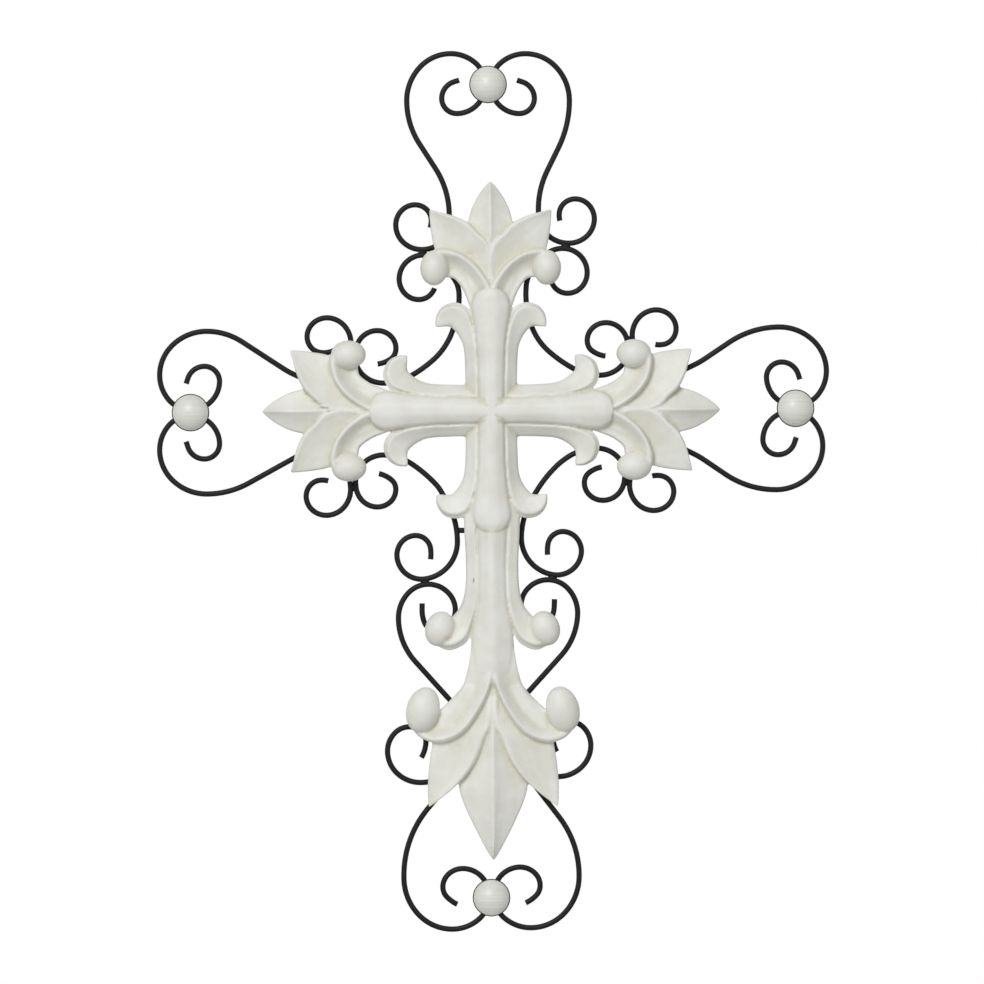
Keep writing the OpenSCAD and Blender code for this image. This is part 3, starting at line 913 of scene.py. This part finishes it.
@dataclass
class Ironwork:
    """The bent rods, back rail and hanger bar, with weld beads where the rods kiss."""

    hang_y: float = 123.0
    rod: float = 3.8
    bar: float = 2.0
    bead_share: float = 0.42
    lumpiness: float = 0.16
    lump_rate: float = 1.7
    welds: tuple[Weld, ...] = (
        Weld(-47, 110.5, 182), Weld(52, 115, -6), Weld(-95, 44, 80), Weld(-95, -52, -85),
        Weld(96.5, 49.5, 100), Weld(94.5, -48, -97), Weld(-45.5, -117.5, 187), Weld(43, -114.5, -9),
        Weld(-21.5, -82, 90, 2.0, 1.3), Weld(19.5, -82, 90, 2.0, 1.3),
    )

    def beads(self, finish: bpy.types.Material) -> bpy.types.Object:
        """Builds the weld beads as small uneven lumps between the rods.

        Args:
            finish: the iron's wax.

        Returns:
            All the beads as one object.
        """
        bm = bmesh.new()
        middle_y = -(self.bar + self.rod / 2) * MM
        for weld in self.welds:
            made = bmesh.ops.create_icosphere(bm, subdivisions=3, radius=1.0)["verts"]
            turn = Matrix.Rotation(-math.radians(weld.heading), 3, "Y")
            for vert in made:
                seed = Vector((weld.x, weld.y, 0))
                lump = 1 + self.lumpiness * noise.noise(vert.co * self.lump_rate + seed)
                size = Vector((weld.long, self.rod * self.bead_share, weld.wide)) * lump * MM
                point = Vector((vert.co.x * size.x, vert.co.y * size.y, vert.co.z * size.z))
                vert.co = turn @ point + Vector((weld.x * MM, middle_y, (weld.y - self.hang_y) * MM))
        obj = object_from(bm, "weld_beads")
        obj.data.materials.append(finish)
        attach(obj, "root")
        return obj

    def dress(self, finish: bpy.types.Material) -> int:
        """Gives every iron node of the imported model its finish.

        Args:
            finish: the iron's wax.

        Returns:
            How many nodes were dressed.
        """
        dressed = 0
        for name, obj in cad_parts.items():
            if name == "carved_cross" or name.startswith(("dish_", "stud_")):
                continue
            for slot in obj.material_slots:
                slot.material = finish
            dressed += 1
        return dressed


# ------------------------------------------------------------------ studio


@dataclass
class Studio:
    """Pale floor, white surroundings, soft lamps and the straight-on camera."""

    frame_width: float = 0.6816
    aim: tuple[float, float] = (0.00104, -0.1784)
    lens: float = 250.0
    floor_drop: float = 0.15
    floor_radius: float = 0.75
    ambient: float = 0.34
    clip_end: float = 50.0
    lamps: tuple[tuple[str, tuple[float, float, float], float, float], ...] = (
        ("key", (-1.3, -4.4, 2.05), 2.1, 157),
        ("fill", (1.8, -2.6, 0.2), 2.0, 3),
    )

    def world(self) -> None:
        """Makes surroundings that show white and light the object softly."""
        world = bpy.data.worlds.new("studio")
        bpy.context.scene.world = world
        world.use_nodes = True
        tree = world.node_tree
        tree.nodes.clear()
        path = add_node(tree, "ShaderNodeLightPath")
        straight = add_node(
            tree, "ShaderNodeMath", {"operation": "ADD"},
            {0: path.outputs["Is Camera Ray"], 1: path.outputs["Is Glossy Ray"]},
        )
        seen = add_node(
            tree, "ShaderNodeMath", {"operation": "ADD", "use_clamp": True},
            {0: straight.outputs["Value"], 1: path.outputs["Is Transmission Ray"]},
        )
        white = (1, 1, 1, 1)
        lit = add_node(
            tree, "ShaderNodeBackground", inputs={"Color": white, "Strength": self.ambient}
        )
        shown = add_node(tree, "ShaderNodeBackground", inputs={"Color": white, "Strength": 1.0})
        mix = add_node(
            tree, "ShaderNodeMixShader",
            inputs={0: seen.outputs["Value"], 1: lit.outputs["Background"], 2: shown.outputs["Background"]},
        )
        add_node(tree, "ShaderNodeOutputWorld", inputs={"Surface": mix.outputs["Shader"]})

    def lamp(self, name: str, place: tuple[float, float, float], size: float, watts: float) -> None:
        """Adds a square soft lamp that faces the middle of the object.

        Args:
            name: the lamp's name.
            place: where it stands, in metres.
            size: its side, in metres.
            watts: its power.
        """
        light = bpy.data.lights.new(name, "AREA")
        light.size = size
        light.energy = watts
        obj = bpy.data.objects.new(name, light)
        obj.location = place
        target = Vector((self.aim[0], 0, self.aim[1]))
        obj.rotation_euler = (target - Vector(place)).to_track_quat("-Z", "Y").to_euler()
        bpy.context.scene.collection.objects.link(obj)

    def floor(self) -> None:
        """Adds the pale floor under the hanging object."""
        bm = bmesh.new()
        bmesh.ops.create_circle(bm, cap_ends=True, segments=96, radius=self.floor_radius)
        bmesh.ops.translate(bm, verts=bm.verts, vec=(0, 0, CAD_BOX[0][2] - self.floor_drop))
        obj = object_from(bm, "floor", smooth=False)
        material, tree, shader = new_material("pale_matt_floor")
        place = add_node(tree, "ShaderNodeTexCoord").outputs["Object"]
        cloud = add_node(tree, "ShaderNodeTexNoise", inputs={"Vector": place, "Scale": 3.0})
        tone = add_node(tree, "ShaderNodeValToRGB", inputs={"Fac": cloud.outputs["Fac"]})
        ramp(tone, [(0.3, srgb("ececea")), (0.7, srgb("f2f2f0"))])
        tree.links.new(tone.outputs["Color"], shader.inputs["Base Color"])
        shader.inputs["Roughness"].default_value = 0.9
        obj.data.materials.append(material)

    def camera(self) -> None:
        """Adds the long-lens camera, level and straight on."""
        data = bpy.data.cameras.new("camera")
        data.lens = self.lens
        data.clip_end = self.clip_end
        obj = bpy.data.objects.new("camera", data)
        back = self.frame_width * self.lens / data.sensor_width
        obj.location = (self.aim[0], -back, self.aim[1])
        obj.rotation_euler = (math.radians(90), 0, 0)
        bpy.context.scene.collection.objects.link(obj)
        bpy.context.scene.camera = obj

    def build(self) -> None:
        """Builds the whole studio."""
        bpy.context.scene.view_settings.view_transform = "Standard"
        self.world()
        self.floor()
        for lamp in self.lamps:
            self.lamp(*lamp)
        self.camera()


def main() -> None:
    """Builds the cross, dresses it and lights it."""
    logging.basicConfig(level=logging.INFO, format="%(name)s %(message)s")
    iron = WaxedIron().build()
    paint = CastPaint().build()
    enamel = BrushedEnamel().build()
    carving = CarvedCross().build(paint)
    LOG.info("carving: %d faces", len(carving.data.polygons))
    for side in ("top", "bottom", "left", "right"):
        stud = Stud(side)
        LOG.info("stud: %s on %s", stud.dome(enamel).name, stud.seat(iron).name)
    ironwork = Ironwork()
    LOG.info("ironwork: %d nodes, %s", ironwork.dress(iron), ironwork.beads(iron).name)
    Studio().build()


if __name__ == "__main__":
    main()
